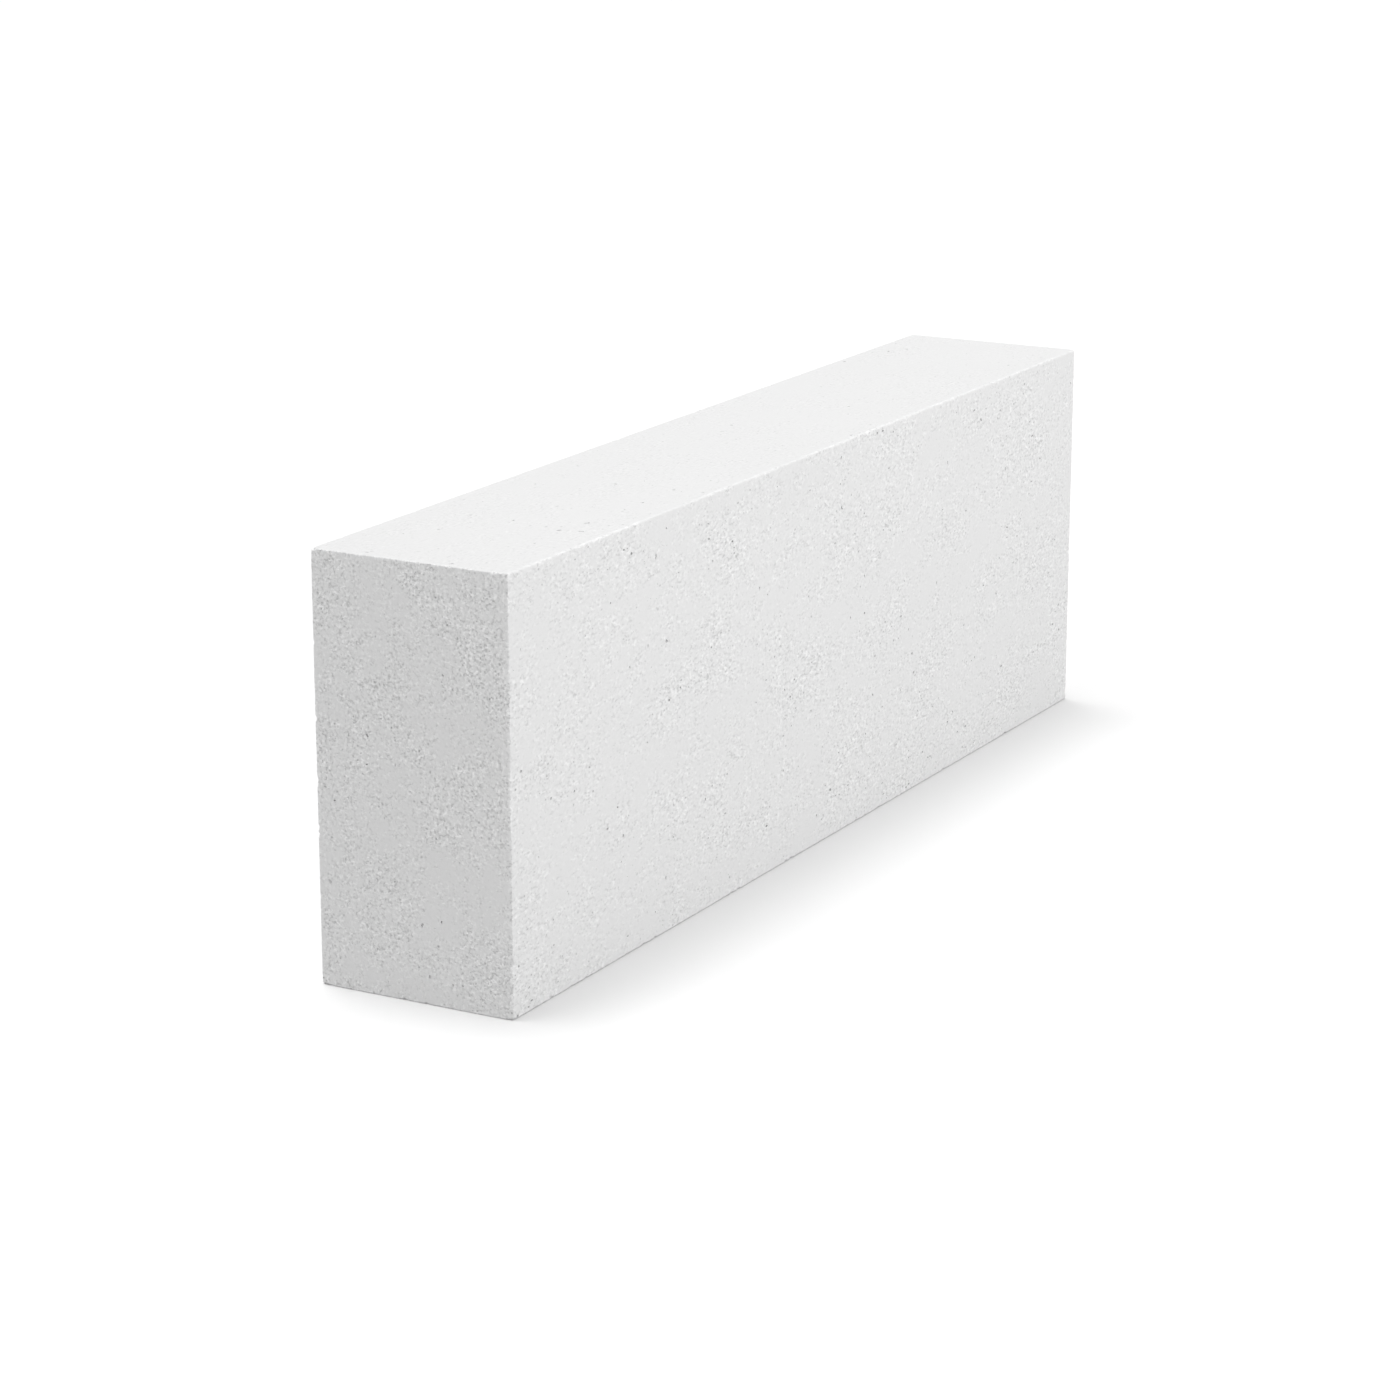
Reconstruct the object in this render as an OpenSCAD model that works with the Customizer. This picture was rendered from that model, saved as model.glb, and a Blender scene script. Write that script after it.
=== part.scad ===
// Plain aerated concrete building block: one sawn, solid unit with flat faces and eased edges.
// It stands on its long narrow bed face, centred over the origin, with its length along X.

/* [Block] */
// Length of the block, along the wall
block_length = 600; // [300:5:650]
// Height of the block, one course without its joint
block_height = 200; // [150:5:300]
// Thickness of the block, through the wall
block_thickness = 100; // [50:5:400]

/* [Edges] */
// Radius to which every edge of the block is eased
arris_radius = 0.8; // [0.2:0.1:6]

/* [Hidden] */
$fn = 64;
concrete_grey = [0.93, 0.93, 0.925];

// A rectangle centred on the origin, with each corner rounded to the radius.
module rounded_rectangle(width, depth, radius) {
    flat_width = width - 2 * radius;
    flat_depth = depth - 2 * radius;
    square([width, flat_depth], center = true);
    square([flat_width, depth], center = true);
    for (side = [-1, 1], end = [-1, 1]) {
        translate([side * flat_width / 2, end * flat_depth / 2])
            circle(r = radius);
    }
}

// A straight prism of the rounded rectangle, centred on the origin, running along Z.
module rounded_prism(width, depth, run, radius) {
    linear_extrude(height = run, center = true)
        rounded_rectangle(width, depth, radius);
}

// The block is what its three outlines have in common: plan, side and end, each with eased corners.
module block() {
    color(concrete_grey)
        translate([0, 0, block_height / 2])
            intersection() {
                rounded_prism(block_length, block_thickness, block_height, arris_radius);
                rotate([90, 0, 0])
                    rounded_prism(block_length, block_height, block_thickness, arris_radius);
                rotate([0, 90, 0])
                    rounded_prism(block_height, block_thickness, block_length, arris_radius);
            }
}

block();
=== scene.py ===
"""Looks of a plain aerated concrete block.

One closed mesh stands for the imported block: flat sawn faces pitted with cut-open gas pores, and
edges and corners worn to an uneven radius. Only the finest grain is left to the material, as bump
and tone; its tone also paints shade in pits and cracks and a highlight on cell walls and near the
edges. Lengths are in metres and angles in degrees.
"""
import itertools
import math
import random
from dataclasses import dataclass

import bmesh
import bpy
import numpy as np
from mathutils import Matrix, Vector, noise
from mathutils.geometry import delaunay_2d_cdt


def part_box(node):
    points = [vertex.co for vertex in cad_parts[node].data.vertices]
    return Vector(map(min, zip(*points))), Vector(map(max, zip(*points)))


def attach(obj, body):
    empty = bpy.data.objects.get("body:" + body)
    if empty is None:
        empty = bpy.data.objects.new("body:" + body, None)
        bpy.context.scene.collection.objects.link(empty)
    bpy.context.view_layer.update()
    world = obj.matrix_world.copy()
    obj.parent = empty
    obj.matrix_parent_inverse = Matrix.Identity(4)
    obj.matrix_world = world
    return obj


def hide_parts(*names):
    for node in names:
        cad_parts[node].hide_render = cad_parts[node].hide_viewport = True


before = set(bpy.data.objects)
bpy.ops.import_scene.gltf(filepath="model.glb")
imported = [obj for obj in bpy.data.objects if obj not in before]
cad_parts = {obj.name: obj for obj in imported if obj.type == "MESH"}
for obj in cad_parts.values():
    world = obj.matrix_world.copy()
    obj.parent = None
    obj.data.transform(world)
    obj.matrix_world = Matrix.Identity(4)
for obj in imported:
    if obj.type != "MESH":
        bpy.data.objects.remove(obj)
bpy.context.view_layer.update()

# The block is built about its own middle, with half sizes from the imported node. A face goes by its
# axis and sign, and a corner by its signs.
node_low, node_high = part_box("block")
CENTRE = np.array((node_low + node_high) / 2)
HALF = np.array((node_high - node_low) / 2)
SIGNS = (-1, 1)
FACES = tuple(itertools.product(range(3), SIGNS))
CORNERS = tuple(itertools.product(SIGNS, repeat=3))
SEED = 20

# Worn edges. A setback is how far from the sharp edge a flat face ends, by the edge's axis. A slow
# and a fine wave of wear and some nicks make it uneven, and near its ends it blends into the corner.
ARRIS_SETBACKS = (0.0009, 0.0005, 0.0008)
LEAST_SETBACK = 0.00025
ARRIS_STEP = 0.00125
ARRIS_SEGMENTS = 3
SLOW_WEAR = 0.0002
SLOW_WEAR_LENGTH = 0.011
FINE_WEAR = 0.00025
FINE_WEAR_LENGTH = 0.0028
CORNER_RADII = (0.0007, 0.0013)
CORNER_BLEND = 0.004
NICKS_PER_METRE = 30
NICK_HALF_WIDTHS = (0.0008, 0.0018)
NICK_DEPTHS = (0.00025, 0.0009)

# How far a rough stretch and a nick are flattened, from a round edge (0) to a chamfer (1).
FLATTENING_SHARE = 0.3
NICK_FLATTENING_SHARE = 0.9

# Rows of noise for one edge, and the step from its rows to the next edge's. The noise is zero at
# whole numbers, so it is read halfway between two layers.
ROW_STEP = 7.3
FINE_ROW = 3
ROUGH_ROW = 6
NOISE_LAYER = 0.5

# Pores. Patchy kinds are sparser where the texture is closer, in patches about this long. A kind has
# this many tries for each pore wanted. Ovals and bulges are shares of a mouth's radius.
PATCH_LENGTH = 0.034
MIDDLE_OPENNESS = 0.5
LEAST_OPENNESS = 0.5
PORE_GAP = 0.00025
PORE_TRIES = 40
OVAL_SHARES = (0.06, 0.4)
BULGE_SHARE = 0.1

# Meshing, and the gap round each face's chart on the map.
TRIANGLES_WITH_HULL = 0
MESHING_TOLERANCE = 1e-8
WELD_DISTANCE = 1e-6
CHART_GAP = 0.01


def bubble_radius(mouth_radius, depth):
    """Radius of the bubble whose mouth has this radius when it is cut open to this depth."""
    return (mouth_radius**2 + depth**2) / (2 * depth)


def pore_reach(mouth_radius, depth, oval_share):
    """The widest half width of a pore, under the face as well as on it."""
    widest = bubble_radius(mouth_radius, depth) if depth > mouth_radius else mouth_radius
    return widest * (1 + oval_share + BULGE_SHARE)


@dataclass
class PoreKind:
    """Pores of one range of sizes.

    A depth share is a depth over the radius of the mouth. Densities are pores per square metre, by
    the axis that a face looks along: ends, walls and beds.
    """

    radii: tuple
    depth_shares: tuple
    sides: int
    rings: int
    patchy: bool
    densities: tuple

    @property
    def most_reach(self):
        """The widest half width that a pore of this kind can have."""
        radius = self.radii[1]
        return pore_reach(radius, radius * self.depth_shares[1], OVAL_SHARES[1])


@dataclass
class Pore:
    """One cut-open gas bubble: its mouth's place and radius on its face, and its depth.

    The corners of its outline are turned by one angle, and its oval and bulges lean by another.
    """

    place: np.ndarray
    radius: float
    depth: float
    kind: PoreKind
    turn: float
    lean: float
    oval_share: float

    @property
    def bubble(self):
        """Radius of the bubble that was cut open."""
        return bubble_radius(self.radius, self.depth)

    @property
    def reach(self):
        """The widest half width of this pore."""
        return pore_reach(self.radius, self.depth, self.oval_share)


@dataclass
class Arris:
    """One worn edge along an axis. Its first and second faces look along the axes that follow."""

    axis: int
    signs: tuple
    along: np.ndarray
    first_setback: np.ndarray
    second_setback: np.ndarray
    flattening: np.ndarray


# A few large bubbles, smaller ones cut near their tops, wide open ones, and small pits.
PORE_KINDS = (
    PoreKind((0.0008, 0.0012), (1.2, 2.0), sides=12, rings=3, patchy=False, densities=(150, 80, 250)),
    PoreKind((0.0004, 0.0008), (1.4, 2.8), sides=10, rings=3, patchy=False, densities=(300, 450, 300)),
    PoreKind((0.00035, 0.0006), (0.6, 1.3), sides=8, rings=2, patchy=True, densities=(1600, 4500, 2000)),
    PoreKind((0.00026, 0.00042), (0.6, 1.2), sides=6, rings=1, patchy=True, densities=(20000, 18000, 8000)),
)


def add_object(name, data):
    """A new object in the scene that holds this data."""
    added = bpy.data.objects.new(name, data)
    bpy.context.scene.collection.objects.link(added)
    return added


def next_axes(axis):
    """The two axes that follow this one, so that the three are right-handed."""
    return (axis + 1) % 3, (axis + 2) % 3


def ordered(axis, value, first_value, second_value):
    """Values for an axis and the two that follow it, put in the order of X, Y and Z."""
    first, second = next_axes(axis)
    found = [None] * 3
    found[axis], found[first], found[second] = value, first_value, second_value
    return found


# Worn edges and corners

def smooth_step(share):
    """A share held between 0 and 1, with a smooth start and end."""
    share = np.clip(share, 0, 1)
    return share * share * (3 - 2 * share)


def waves(along, length, row):
    """Smooth noise along an edge, with waves of about this length, in a row of its own."""
    return np.array([noise.noise(Vector((x / length, row, NOISE_LAYER))) for x in along])


def make_nicks(along, draw):
    """How full a nick is at each point along an edge, and how deep on each of the two faces."""
    start, stop = along[0], along[-1]
    fullness = np.zeros_like(along)
    depths = np.zeros((2, len(along)))
    for _ in range(round((stop - start) * NICKS_PER_METRE)):
        place = draw.uniform(start, stop)
        half_width = draw.uniform(*NICK_HALF_WIDTHS)
        shape = np.clip(1 - ((along - place) / half_width) ** 2, 0, None)
        fullness = np.maximum(fullness, shape)
        for on_face in depths:
            on_face[:] = np.maximum(on_face, draw.uniform(*NICK_DEPTHS) * shape)
    return fullness, depths


def make_arris(number, axis, signs, corner_radii, draw):
    """The worn edge along an axis, at these signs of the two axes that follow."""
    ends = [corner_radii[tuple(ordered(axis, end, *signs))] for end in SIGNS]
    start = ends[0] - HALF[axis]
    stop = HALF[axis] - ends[1]
    along = np.linspace(start, stop, round((stop - start) / ARRIS_STEP) + 1)
    fullness, nick_depths = make_nicks(along, draw)
    inward = smooth_step(np.minimum(along - start, stop - along) / CORNER_BLEND)
    corner = np.interp(along, (start, stop), ends)
    row = ROW_STEP * number
    setbacks = []
    for side in range(2):
        wear = SLOW_WEAR * waves(along, SLOW_WEAR_LENGTH, row + side)
        wear += FINE_WEAR * waves(along, FINE_WEAR_LENGTH, row + side + FINE_ROW)
        worn = np.maximum(ARRIS_SETBACKS[axis] + wear, LEAST_SETBACK) + nick_depths[side]
        setbacks.append(corner + (worn - corner) * inward)
    rough = np.abs(waves(along, FINE_WEAR_LENGTH, row + ROUGH_ROW))
    flattening = np.maximum(FLATTENING_SHARE * rough, NICK_FLATTENING_SHARE * fullness) * inward
    return Arris(axis, signs, along, *setbacks, flattening)


def make_arrises(corner_radii, draw):
    """All twelve worn edges, by their axis and signs."""
    places = itertools.product(range(3), itertools.product(SIGNS, repeat=2))
    return {
        (axis, signs): make_arris(number, axis, signs, corner_radii, draw)
        for number, (axis, signs) in enumerate(places)
    }


def rounding():
    """Cosine and sine of the directions across a rounded edge, as on a corner's triangle grid."""
    steps = np.arange(ARRIS_SEGMENTS + 1)
    directions = np.stack((ARRIS_SEGMENTS - steps, steps), 1)
    return (directions / np.linalg.norm(directions, axis=1)[:, None]).T


def grid_triangles(rows, columns):
    """Triangles over a grid of points that is stored row by row."""
    corner = (np.arange(rows - 1)[:, None] * columns + np.arange(columns - 1)).ravel()
    right, below = corner + 1, corner + columns
    first = np.stack((corner, right, below), 1)
    second = np.stack((right, below + 1, below), 1)
    return np.concatenate((first, second))


def arris_patch(arris):
    """Points and triangles of one worn edge, from its first face round to its second."""
    first, second = next_axes(arris.axis)
    cosine, sine = rounding()
    share = np.linspace(0, 1, ARRIS_SEGMENTS + 1)
    on_first, on_second = arris.first_setback[:, None], arris.second_setback[:, None]
    flattening = arris.flattening[:, None]
    round_first = on_second * (1 - cosine)
    round_second = on_first * (1 - sine)
    in_first = round_first + flattening * (on_second * share - round_first)
    in_second = round_second + flattening * (on_first * (1 - share) - round_second)
    points = np.empty((len(arris.along), ARRIS_SEGMENTS + 1, 3))
    points[..., arris.axis] = arris.along[:, None]
    points[..., first] = arris.signs[0] * (HALF[first] - in_first)
    points[..., second] = arris.signs[1] * (HALF[second] - in_second)
    return points.reshape(-1, 3), grid_triangles(*points.shape[:2])


def corner_patch(signs, radius):
    """Points and triangles of one ball-rounded corner."""
    steps = [
        (i, j, ARRIS_SEGMENTS - i - j)
        for i in range(ARRIS_SEGMENTS + 1)
        for j in range(ARRIS_SEGMENTS + 1 - i)
    ]
    number = {step[:2]: k for k, step in enumerate(steps)}
    directions = np.array(steps) / np.linalg.norm(steps, axis=1)[:, None]
    points = np.array(signs) * (HALF - radius + radius * directions)
    triangles = []
    for i, j, left in steps:
        if left:
            triangles.append((number[i, j], number[i + 1, j], number[i, j + 1]))
        if left > 1:
            triangles.append((number[i + 1, j], number[i + 1, j + 1], number[i, j + 1]))
    return points, np.array(triangles)


# Flat faces and pores

class Face:
    """One flat face of the block, with its border where the worn edges begin."""

    # The border's runs: the direction that a run lies square to, its end there, and its sense.
    RUNS = ((1, 0, 1), (0, 1, 1), (1, 1, -1), (0, 0, -1))

    def __init__(self, axis, sign, arrises):
        self.axis, self.sign = axis, sign
        self.across, self.up = next_axes(axis)
        self.half = HALF[[self.across, self.up]]
        # For each direction on the face, the edges at its low and its high end.
        self.sides = (
            [arrises[self.up, (sign, end)] for end in SIGNS],
            [arrises[self.across, (end, sign)] for end in SIGNS],
        )
        self.setbacks = (
            [side.first_setback for side in self.sides[0]],
            [side.second_setback for side in self.sides[1]],
        )

    def border(self):
        """The border's points on the face, anticlockwise, from the low corner."""
        runs = []
        for direction, end, sense in self.RUNS:
            along = self.sides[direction][end].along
            run = np.empty((len(along), 2))
            run[:, direction] = SIGNS[end] * (self.half[direction] - self.setbacks[direction][end])
            run[:, 1 - direction] = along
            runs.append(run[::sense][:-1])
        return np.concatenate(runs)

    def holds(self, pore):
        """Whether a pore keeps clear of the face's border."""
        for direction, end in itertools.product((0, 1), (0, 1)):
            room = self.half[direction] - SIGNS[end] * pore.place[direction]
            along = self.sides[direction][end].along
            near = pore.place[1 - direction] + pore.reach * np.array((-1, 0, 1))
            setback = np.interp(near, along, self.setbacks[direction][end]).max()
            if room < setback + pore.reach + PORE_GAP:
                return False
        return True

    def lift(self, places, depths):
        """Points of the block at these places on the face and depths below it."""
        points = np.empty((len(places), 3))
        points[:, self.axis] = self.sign * (HALF[self.axis] - depths)
        points[:, self.across] = places[:, 0]
        points[:, self.up] = places[:, 1]
        return points


def openness(point):
    """How open the texture is at a point, from its least to 1."""
    wave = noise.noise(Vector(point) / PATCH_LENGTH)
    return min(max(MIDDLE_OPENNESS + wave, LEAST_OPENNESS), 1)


def draw_pore(face, kind, draw):
    """A pore of a kind, anywhere on a face."""
    place = np.array([draw.uniform(-half, half) for half in face.half])
    radius = draw.uniform(*kind.radii)
    depth = radius * draw.uniform(*kind.depth_shares)
    turn = draw.uniform(0, math.tau)
    lean = draw.uniform(0, math.tau)
    return Pore(place, radius, depth, kind, turn, lean, draw.uniform(*OVAL_SHARES))


def is_clear(pore, home, cells):
    """Whether a pore keeps its gap from those in its home cell and in the cells around it."""
    for step in itertools.product((-1, 0, 1), repeat=2):
        for near in cells.get((home[0] + step[0], home[1] + step[1]), ()):
            if math.dist(pore.place, near.place) <= pore.reach + near.reach + PORE_GAP:
                return False
    return True


def scatter_pores(face, draw):
    """Pores that lie clear of each other and of the face's border, the largest kind first."""
    area = 4 * face.half.prod()
    cell = 2 * max(kind.most_reach for kind in PORE_KINDS) + PORE_GAP
    cells = {}
    pores = []
    for kind in PORE_KINDS:
        wanted = round(area * kind.densities[face.axis])
        full = len(pores) + wanted
        for _ in range(wanted * PORE_TRIES):
            if len(pores) == full:
                break
            pore = draw_pore(face, kind, draw)
            if kind.patchy and draw.random() > openness(face.lift(pore.place[None], 0)[0]):
                continue
            home = tuple((pore.place // cell).astype(int))
            if is_clear(pore, home, cells) and face.holds(pore):
                cells.setdefault(home, []).append(pore)
                pores.append(pore)
    return pores


def pore_outline(pore):
    """The mouth's outline about its middle, for a mouth radius of 1: an oval with three bulges."""
    angles = np.arange(pore.kind.sides) * math.tau / pore.kind.sides + pore.turn
    reach = 1 + pore.oval_share * np.sin(2 * angles + pore.lean)
    reach += BULGE_SHARE * np.sin(3 * angles + 2 * pore.lean)
    return np.stack((np.cos(angles), np.sin(angles)), 1) * reach[:, None]


def bowl_rings(pore):
    """Radius, depth and share of the way out for each inner ring of a pore, and for its bottom."""
    widest_angle = math.acos(1 - pore.depth / pore.bubble)
    rings = []
    for ring in range(pore.kind.rings - 1, -1, -1):
        share = ring / pore.kind.rings
        angle = widest_angle * share
        depth = pore.depth - pore.bubble * (1 - math.cos(angle))
        rings.append((pore.bubble * math.sin(angle), depth, share))
    return rings


def flat_triangles(loops):
    """Triangles between a face's border, which is the first loop, and the mouths inside it."""
    starts = np.cumsum([0] + [len(loop) for loop in loops])
    places = np.concatenate(loops)
    owner = np.repeat(np.arange(len(loops)), np.diff(starts))
    edges = []
    for start, loop in zip(starts, loops):
        count = len(loop)
        edges += [(int(start + k), int(start + (k + 1) % count)) for k in range(count)]
    corners = [Vector(place) for place in places]
    found = delaunay_2d_cdt(corners, edges, [], TRIANGLES_WITH_HULL, MESHING_TOLERANCE, True)
    own_number = np.array([origins[0] for origins in found[3]])
    triangles = own_number[np.array(found[2])]
    # A triangle whose corners lie on one loop is inside it if the loop's order turns it
    # anticlockwise. The flat is what lies inside the border and outside the mouths.
    one_loop = (owner[triangles] == owner[triangles[:, :1]]).all(1)
    first, second, third = places[np.sort(triangles, 1)].transpose(1, 0, 2)
    inside = np.cross(second - first, third - first) > 0
    on_border = owner[triangles[:, 0]] == 0
    return triangles[~one_loop | (inside == on_border)]


def flat_patch(face, pores):
    """A face with its pores: its points, their places on the face's chart, and triangles.

    The last two results are the triangles of the flat and of the bowls.
    """
    outlines = [pore_outline(pore) for pore in pores]
    border = face.border()
    loops = [border] + [pore.place + pore.radius * outline for pore, outline in zip(pores, outlines)]
    places = np.concatenate(loops)
    solid_places, chart_places = [places], [places]
    depths = [np.zeros(len(places))]
    bowls = []
    total = len(places)
    rim_start = len(border)
    for pore, outline in zip(pores, outlines):
        sides = pore.kind.sides
        outer = rim_start + np.arange(sides)
        rim_start += sides
        for radius, depth, share in bowl_rings(pore):
            after = np.roll(outer, -1)
            if share:
                shape = outline
                inner = total + np.arange(sides)
                inner_after = np.roll(inner, -1)
                bowls.append(np.stack((outer, after, inner_after), 1))
                bowls.append(np.stack((outer, inner_after, inner), 1))
            else:
                shape = np.zeros((1, 2))
                inner = np.array([total])
                bowls.append(np.stack((outer, after, np.repeat(inner, sides)), 1))
            solid_places.append(pore.place + radius * shape)
            chart_places.append(pore.place + share * pore.radius * shape)
            depths.append(np.full(len(inner), depth))
            total += len(inner)
            outer = inner
    points = face.lift(np.concatenate(solid_places), np.concatenate(depths))
    charts = face.lift(np.concatenate(chart_places), np.zeros(total))
    return points, charts, flat_triangles(loops), np.concatenate(bowls)


# The whole mesh

def chart_origins():
    """Where each face's chart lies on the map, and the map's size: columns with lengths upright."""
    origins = {}
    column = CHART_GAP
    for axis in (1, 2):
        width = 2 * HALF[3 - axis]
        for sign in SIGNS:
            origins[axis, sign] = np.array((column + width / 2, CHART_GAP + HALF[0]))
            column += width + CHART_GAP
    height = 2 * HALF[2]
    for row, sign in enumerate(SIGNS):
        lift = CHART_GAP + height / 2 + row * (height + CHART_GAP)
        origins[0, sign] = np.array((column + HALF[1], lift))
    column += 2 * HALF[1] + CHART_GAP
    return origins, max(column, 2 * (HALF[0] + CHART_GAP))


def chart_map(points, axis, sign, origins, size):
    """Places on the map of points that belong to a face's chart."""
    across, up = next_axes(axis)
    flat = np.stack((sign * points[..., across], points[..., up]), -1)
    if axis == 2:
        flat = np.stack((-points[..., up], sign * points[..., across]), -1)
    return (flat + origins[axis, sign]) / size


def facing(points, triangles):
    """The axis and sign that each triangle mostly faces, going by its place on a convex block."""
    middles = points[triangles].mean(1)
    beyond = np.abs(middles) - HALF
    axes = beyond.argmax(1)
    return axes, np.sign(middles[np.arange(len(middles)), axes]).astype(int)


def mapped_patches(draw):
    """Each patch of the block: its points, and groups of triangles with their shading and map."""
    corner_radii = {signs: draw.uniform(*CORNER_RADII) for signs in CORNERS}
    arrises = make_arrises(corner_radii, draw)
    origins, size = chart_origins()
    rounded = [arris_patch(arris) for arris in arrises.values()]
    rounded += [corner_patch(signs, radius) for signs, radius in corner_radii.items()]
    for points, triangles in rounded:
        axes, signs = facing(points, triangles)
        maps = np.empty((len(triangles), 3, 2))
        for axis, sign in FACES:
            own = (axes == axis) & (signs == sign)
            maps[own] = chart_map(points[triangles[own]], axis, sign, origins, size)
        yield points, [(triangles, True, maps)]
    for axis, sign in FACES:
        face = Face(axis, sign, arrises)
        points, charts, flat, bowls = flat_patch(face, scatter_pores(face, draw))
        places = chart_map(charts, axis, sign, origins, size)
        yield points, [(flat, False, places[flat]), (bowls, True, places[bowls])]


def weld(mesh):
    """Joins the patches along their borders and turns every triangle outward."""
    welded = bmesh.new()
    welded.from_mesh(mesh)
    bmesh.ops.remove_doubles(welded, verts=welded.verts, dist=WELD_DISTANCE)
    bmesh.ops.recalc_face_normals(welded, faces=welded.faces)
    welded.to_mesh(mesh)
    welded.free()


def build_block():
    """The whole block as one closed mesh object, with a map that has one chart for each face."""
    points, triangles, smooth, maps = [], [], [], []
    total = 0
    for patch_points, groups in mapped_patches(random.Random(SEED)):
        points.append(patch_points)
        for group, is_smooth, group_maps in groups:
            triangles.append(group + total)
            smooth.append(np.full(len(group), is_smooth))
            maps.append(group_maps)
        total += len(patch_points)
    mesh = bpy.data.meshes.new("aerated_block")
    mesh.from_pydata(np.concatenate(points) + CENTRE, [], np.concatenate(triangles).tolist())
    mesh.polygons.foreach_set("use_smooth", np.concatenate(smooth))
    layer = mesh.uv_layers.new(name="OFBake")
    layer.uv.foreach_set("vector", np.concatenate(maps).astype(np.float32).ravel())
    weld(mesh)
    return add_object("aerated_block", mesh)


# Material

class Nodes:
    """Short calls for building one material's or world's node tree."""

    def __init__(self, owner):
        owner.use_nodes = True
        self.tree = owner.node_tree
        self.tree.nodes.clear()

    def add(self, kind, settings=None, **inputs):
        """A new node. An underscore in an input's name stands for a space."""
        made = self.tree.nodes.new(kind)
        for name, value in (settings or {}).items():
            setattr(made, name, value)
        for name, value in inputs.items():
            self.set(made, name.replace("_", " "), value)
        return made

    def set(self, made, name, value):
        """Links an input to another node's output, or gives it a plain value."""
        if isinstance(value, bpy.types.NodeSocket):
            self.tree.links.new(value, made.inputs[name])
        else:
            made.inputs[name].default_value = value

    def calculate(self, kind, operation, values):
        """A node that works on these values in order."""
        made = self.add(kind, {"operation": operation})
        for number, value in enumerate(values):
            self.set(made, number, value)
        return made.outputs

    def math(self, operation, *values):
        """A number worked out from others."""
        return self.calculate("ShaderNodeMath", operation, values)["Value"]

    def vector(self, operation, *values):
        """A vector worked out from others."""
        return self.calculate("ShaderNodeVectorMath", operation, values)["Vector"]

    def dot(self, first, second):
        """The dot product of two vectors."""
        return self.calculate("ShaderNodeVectorMath", "DOT_PRODUCT", (first, second))["Value"]

    def total(self, start, *terms):
        """A number with others added to it, each times its weight."""
        for value, weight in terms:
            start = self.math("MULTIPLY_ADD", value, weight, start)
        return start

    def ramp(self, value, low, high, to_low, to_high):
        """A number between two limits, mapped smoothly to two others."""
        made = self.add(
            "ShaderNodeMapRange",
            {"interpolation_type": "SMOOTHSTEP"},
            Value=value,
            From_Min=low,
            From_Max=high,
            To_Min=to_low,
            To_Max=to_high,
        )
        return made.outputs["Result"]

    def noise(self, place, length, **more):
        """Noise with waves of about this length, as a number and as a colour."""
        return self.add("ShaderNodeTexNoise", Vector=place, Scale=1 / length, **more).outputs

    def grey(self, value):
        """A colour with this much of red, green and blue."""
        return self.add("ShaderNodeCombineColor", Red=value, Green=value, Blue=value).outputs["Color"]


# The concrete's colour and gloss. Its tone stays above a least share of the albedo, and its
# roughness follows the grain.
ALBEDO = 0.834
LEAST_TONE = 0.25
SPECULAR = 0.2
ROUGHNESS_BREAKS = (0.3, 0.7)
ROUGHNESSES = (0.86, 0.98)

# The middle of a noise's range, and how far the grain is drawn out along X, Y and Z.
NOISE_MIDDLE = 0.5
STRETCHES = (1.625, 0.944, 1.0)

# Gains of relief and tone: by patches of many sizes, from this length down, and by face, for ends,
# walls and beds.
GRAIN_PATCH_LENGTH = 0.045
PATCH_DETAIL = 5.0
PATCH_ROUGHNESS = 1.0
PATCH_BREAKS = (0.37, 0.67)
PATCH_GAINS = (0.08, 1.85)
FACE_GAINS = (0.83, 0.63, 0.23)
PIT_FACE_GAINS = (0.72, 1.25, 0.4)

# The grain. Open texture is also a little brighter all over.
GRAIN_LENGTH = 0.00148
GRAIN_DETAIL = 1.0
GRAIN_HEIGHT = 0.0003
GRAIN_TONE = 0.3
OPEN_TONE = 0.004

# Small bent cells. Walls stand up between them where the grain is high, with a lighter colour that is a
# painted highlight, and cracks run there where it is low, with a darker colour that is painted shade.
# Shares are of a cell's size.
CELL_SIZE = 0.0026
BEND_LENGTH = 0.0024
BEND_DETAIL = 0.0
BEND_REACH = 0.0016
WALL_SHARE = 0.18
WALL_BREAKS = (0.5, 0.62)
CRACK_BREAKS = (0.38, 0.5)
WALL_HEIGHT = 0.00008
WALL_HIGHLIGHT_TONE = 0.125
CRACK_SHADE_TONE = 0.145

# Round pits in a share of the cells, with their colour darkened, a painted shade.
PIT_SHARE = 0.5
PIT_RADIUS_SHARES = (0.16, 0.28)
PIT_DEPTH = 0.00012
PIT_SHADE_TONE = 0.42

# A faint mottle, and a painted highlight that makes the colour paler near the edges, most of all in open
# patches.
MOTTLE_LENGTH = 0.07
MOTTLE_DETAIL = 3.0
MOTTLE_TONE = 0.02
EDGE_HIGHLIGHT_REACH = (0.0004, 0.0018)
EDGE_HIGHLIGHT_BREAKS = (0.4, 0.6)
EDGE_HIGHLIGHT_TONES = (0.01, 0.06)


def edge_highlight(nodes, place):
    """How near the surface is to an edge, for the painted highlight there: 1 on the edge, and 0 past the
    highlight's reach.
    """
    from_middle = nodes.vector("ABSOLUTE", nodes.vector("SUBTRACT", place, tuple(CENTRE)))
    depths = nodes.vector("SUBTRACT", tuple(HALF), from_middle)
    x, y, z = nodes.add("ShaderNodeSeparateXYZ", Vector=depths).outputs
    # The middle one of the depths below the three pairs of faces is the distance from an edge.
    nearer, farther = nodes.math("MINIMUM", x, y), nodes.math("MAXIMUM", x, y)
    distance = nodes.math("MAXIMUM", nearer, nodes.math("MINIMUM", farther, z))
    return nodes.ramp(distance, *EDGE_HIGHLIGHT_REACH, 1.0, 0.0)


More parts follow.
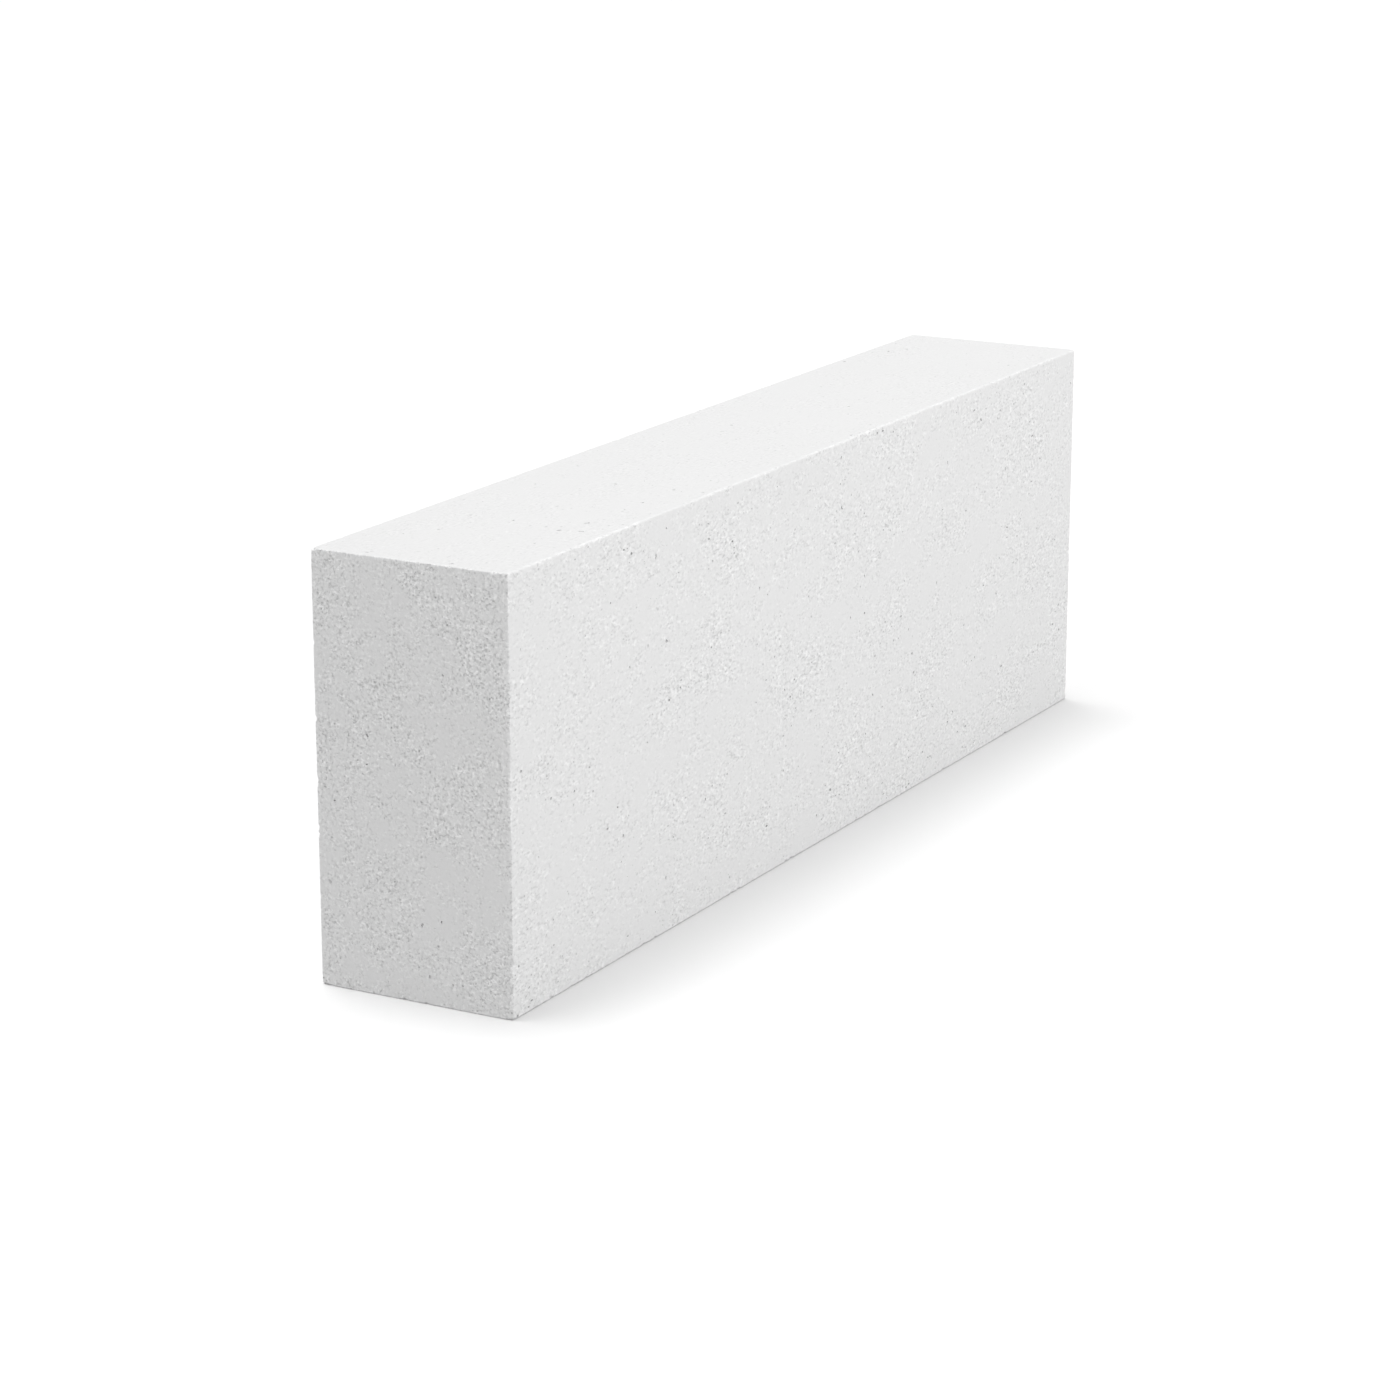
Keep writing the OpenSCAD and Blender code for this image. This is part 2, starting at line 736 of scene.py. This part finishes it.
def bent_place(nodes, place):
    """A place moved a little by noise, so that cells laid out by it are irregular."""
    bend = nodes.noise(place, BEND_LENGTH, Detail=BEND_DETAIL)["Color"]
    offset = nodes.vector("SUBTRACT", bend, (NOISE_MIDDLE,) * 3)
    return nodes.vector("MULTIPLY_ADD", offset, (BEND_REACH,) * 3, place)


def cell_lines(nodes, bent, grain):
    """Walls and cracks between cells: each is 1 in the middle of a line, and broken by the grain."""
    feature = {"feature": "DISTANCE_TO_EDGE"}
    cells = nodes.add("ShaderNodeTexVoronoi", feature, Vector=bent, Scale=1 / CELL_SIZE)
    line = nodes.ramp(cells.outputs["Distance"], 0.0, WALL_SHARE, 1.0, 0.0)
    wall = nodes.math("MULTIPLY", line, nodes.ramp(grain, *WALL_BREAKS, 0.0, 1.0))
    crack = nodes.math("MULTIPLY", line, nodes.ramp(grain, *CRACK_BREAKS, 1.0, 0.0))
    return wall, crack


def cell_pits(nodes, bent):
    """Round pits in some of the cells: 1 at a pit's bottom, and 0 outside it."""
    cells = nodes.add("ShaderNodeTexVoronoi", Vector=bent, Scale=1 / CELL_SIZE)
    picks = nodes.add("ShaderNodeSeparateColor", Color=cells.outputs["Color"]).outputs
    least, most = PIT_RADIUS_SHARES
    radius = nodes.math("MULTIPLY_ADD", picks["Red"], most - least, least)
    ratio = nodes.math("DIVIDE", cells.outputs["Distance"], radius)
    bowl = nodes.math("SUBTRACT", 1.0, nodes.math("POWER", ratio, 2.0))
    picked = nodes.math("LESS_THAN", picks["Green"], PIT_SHARE)
    return nodes.math("MULTIPLY", nodes.math("MAXIMUM", bowl, 0.0), picked)


def make_concrete():
    """White, matt and finely stippled, with relief and tone that are stronger in some patches. Its tone
    paints shade in pits and cracks and a highlight on cell walls and near the edges.
    """
    material = bpy.data.materials.new("aerated_concrete")
    nodes = Nodes(material)
    coordinates = nodes.add("ShaderNodeTexCoord").outputs
    place = nodes.vector("DIVIDE", coordinates["Object"], STRETCHES)
    patches = nodes.noise(
        place, GRAIN_PATCH_LENGTH, Detail=PATCH_DETAIL, Roughness=PATCH_ROUGHNESS
    )["Fac"]
    patch_gain = nodes.ramp(patches, *PATCH_BREAKS, *PATCH_GAINS)
    normal = nodes.vector("ABSOLUTE", coordinates["Normal"])
    gain = nodes.math("MULTIPLY", patch_gain, nodes.dot(normal, FACE_GAINS))
    pit_gain = nodes.math("MULTIPLY", patch_gain, nodes.dot(normal, PIT_FACE_GAINS))

    grain = nodes.noise(place, GRAIN_LENGTH, Detail=GRAIN_DETAIL)["Fac"]
    grain_wave = nodes.math("SUBTRACT", grain, NOISE_MIDDLE)
    bent = bent_place(nodes, place)
    wall, crack = cell_lines(nodes, bent, grain)
    pit = nodes.math("MULTIPLY", cell_pits(nodes, bent), pit_gain)
    mottle = nodes.noise(place, MOTTLE_LENGTH, Detail=MOTTLE_DETAIL)["Fac"]
    mottle_wave = nodes.math("SUBTRACT", mottle, NOISE_MIDDLE)
    # Painted highlight: the colour is paler near the edges.
    edge = edge_highlight(nodes, coordinates["Object"])
    edge_highlight_tone = nodes.ramp(patches, *EDGE_HIGHLIGHT_BREAKS, *EDGE_HIGHLIGHT_TONES)

    height = nodes.math("MULTIPLY", grain_wave, GRAIN_HEIGHT)
    height = nodes.total(height, (wall, WALL_HEIGHT), (crack, -WALL_HEIGHT))
    height = nodes.total(nodes.math("MULTIPLY", height, gain), (pit, -PIT_DEPTH))
    # At full strength and a distance of 1 the bump shows heights at their real size.
    bump = nodes.add("ShaderNodeBump", Strength=1.0, Distance=1.0, Height=height)

    # The tone follows the relief. It is a little lighter where the grain is high and darker where it is
    # low; lighter on raised walls, a painted highlight; and darker in cracks and pits, painted shade. Near
    # the edges it is paler, also a painted highlight.
    relief = nodes.total(OPEN_TONE, (grain_wave, GRAIN_TONE), (wall, WALL_HIGHLIGHT_TONE), (crack, -CRACK_SHADE_TONE))
    tone = nodes.total(
        1.0, (mottle_wave, MOTTLE_TONE), (relief, gain), (pit, -PIT_SHADE_TONE), (edge, edge_highlight_tone)
    )
    tone = nodes.math("MAXIMUM", tone, LEAST_TONE)

    shader = nodes.add(
        "ShaderNodeBsdfPrincipled",
        Base_Color=nodes.grey(nodes.math("MULTIPLY", tone, ALBEDO)),
        Roughness=nodes.ramp(grain, *ROUGHNESS_BREAKS, *ROUGHNESSES),
        Specular_IOR_Level=SPECULAR,
        Normal=bump.outputs["Normal"],
    )
    nodes.add("ShaderNodeOutputMaterial", Surface=shader.outputs["BSDF"])
    return material


# Stage, light and camera

# A lamp's azimuth is 0 from the front, 90 from the near end and 180 from behind. At level 1 it
# shows a surface square to it in the surface's own colour. A sun's spread is its apparent width.
SUNS = {
    "overhead_key": {"azimuth": 200, "elevation": 79, "spread": 20, "level": 0.328},
    "back_left_fill": {"azimuth": 135, "elevation": 20, "spread": 60, "level": 0.355},
    "right_fill": {"azimuth": 270, "elevation": 12, "spread": 60, "level": 0.15},
}

# The panel stands before the front face, a little off its middle, and is tilted up from the floor.
PANEL_ELEVATION = 7
PANEL_TILT = 25
PANEL_DISTANCE = 1.4
PANEL_SIZE = (2.4, 0.4)
PANEL_OFFSET = 0.15
PANEL_LEVEL = 0.695

# The background and the floor look white to the camera, but throw less light than that.
BACKGROUND_SEEN = 1.0
BACKGROUND_LIGHT = 0.534
FLOOR_SEEN = 1.015
FLOOR_BOUNCE = 0.35
FLOOR_SIZE = 24.0
FLOOR_DROP = 0.00005

# The camera's azimuth turns it from +Y towards +X, and its pitch tips it down.
CAMERA_PLACE = (-1.644, -0.879, 0.582)
CAMERA_AZIMUTH = 61.28
CAMERA_PITCH = 15.49
CAMERA_LENS = 99.05
SENSOR_WIDTH = 36.0


def seen_or_thrown(nodes, seen, thrown):
    """A grey: one level for rays that show a surface, also by gloss or glass, and one for its light."""
    path = nodes.add("ShaderNodeLightPath").outputs
    shown = nodes.math("MAXIMUM", path["Is Camera Ray"], path["Is Glossy Ray"])
    shown = nodes.math("MAXIMUM", shown, path["Is Transmission Ray"])
    return nodes.grey(nodes.total(thrown, (shown, seen - thrown)))


def make_world():
    """Soft even light from all round, and a white background."""
    world = bpy.data.worlds.new("soft_room")
    bpy.context.scene.world = world
    nodes = Nodes(world)
    colour = seen_or_thrown(nodes, BACKGROUND_SEEN, BACKGROUND_LIGHT)
    background = nodes.add("ShaderNodeBackground", Color=colour, Strength=1.0)
    nodes.add("ShaderNodeOutputWorld", Surface=background.outputs["Background"])


def make_floor():
    """A plain white floor that takes the shadow and throws little light back up."""
    mesh = bpy.data.meshes.new("floor")
    side = FLOOR_SIZE / 2
    level = float(node_low.z) - FLOOR_DROP
    corners = [(-side, -side, level), (side, -side, level), (side, side, level), (-side, side, level)]
    mesh.from_pydata(corners, [], [(0, 1, 2, 3)])
    material = bpy.data.materials.new("floor_white")
    nodes = Nodes(material)
    shader = nodes.add("ShaderNodeBsdfDiffuse", Color=seen_or_thrown(nodes, FLOOR_SEEN, FLOOR_BOUNCE))
    nodes.add("ShaderNodeOutputMaterial", Surface=shader.outputs["BSDF"])
    mesh.materials.append(material)
    add_object("floor", mesh)


def towards_lamp(azimuth, elevation):
    """The direction from the block to a lamp."""
    turn, rise = math.radians(azimuth), math.radians(elevation)
    return Vector((-math.sin(turn) * math.cos(rise), -math.cos(turn) * math.cos(rise), math.sin(rise)))


def place_lamp(lamp, location, towards):
    """Puts a lamp at a location, so that it shines against this direction."""
    holder = add_object(lamp.name, lamp)
    holder.location = location
    holder.rotation_euler = towards.to_track_quat("Z", "Y").to_euler()
    return holder


def make_lamps():
    """Broad suns, and a long low panel before the front face that the camera doesn't see."""
    middle = Vector(CENTRE)
    for name, sun in SUNS.items():
        lamp = bpy.data.lights.new(name, "SUN")
        lamp.energy = math.pi * sun["level"]
        lamp.angle = math.radians(sun["spread"])
        place_lamp(lamp, middle, towards_lamp(sun["azimuth"], sun["elevation"]))
    panel = bpy.data.lights.new("front_panel", "AREA")
    panel.shape = "RECTANGLE"
    panel.size, panel.size_y = PANEL_SIZE
    panel.energy = PANEL_LEVEL * (math.pi * PANEL_DISTANCE) ** 2
    location = middle + towards_lamp(0, PANEL_ELEVATION) * PANEL_DISTANCE
    location.x += PANEL_OFFSET
    holder = place_lamp(panel, location, towards_lamp(0, PANEL_ELEVATION - PANEL_TILT))
    holder.visible_camera = False


def make_camera():
    """The camera, fitted to the block's edges in the photograph."""
    camera = bpy.data.cameras.new("camera")
    camera.lens = CAMERA_LENS
    camera.sensor_width = SENSOR_WIDTH
    holder = add_object("camera", camera)
    holder.location = CAMERA_PLACE
    holder.rotation_euler = (math.radians(90 - CAMERA_PITCH), 0, math.radians(-CAMERA_AZIMUTH))
    bpy.context.scene.camera = holder


make_camera()
make_world()
make_floor()
make_lamps()

block = build_block()
block.data.materials.append(make_concrete())
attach(block, "root")
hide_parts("block")

bpy.context.scene.view_settings.view_transform = "Standard"
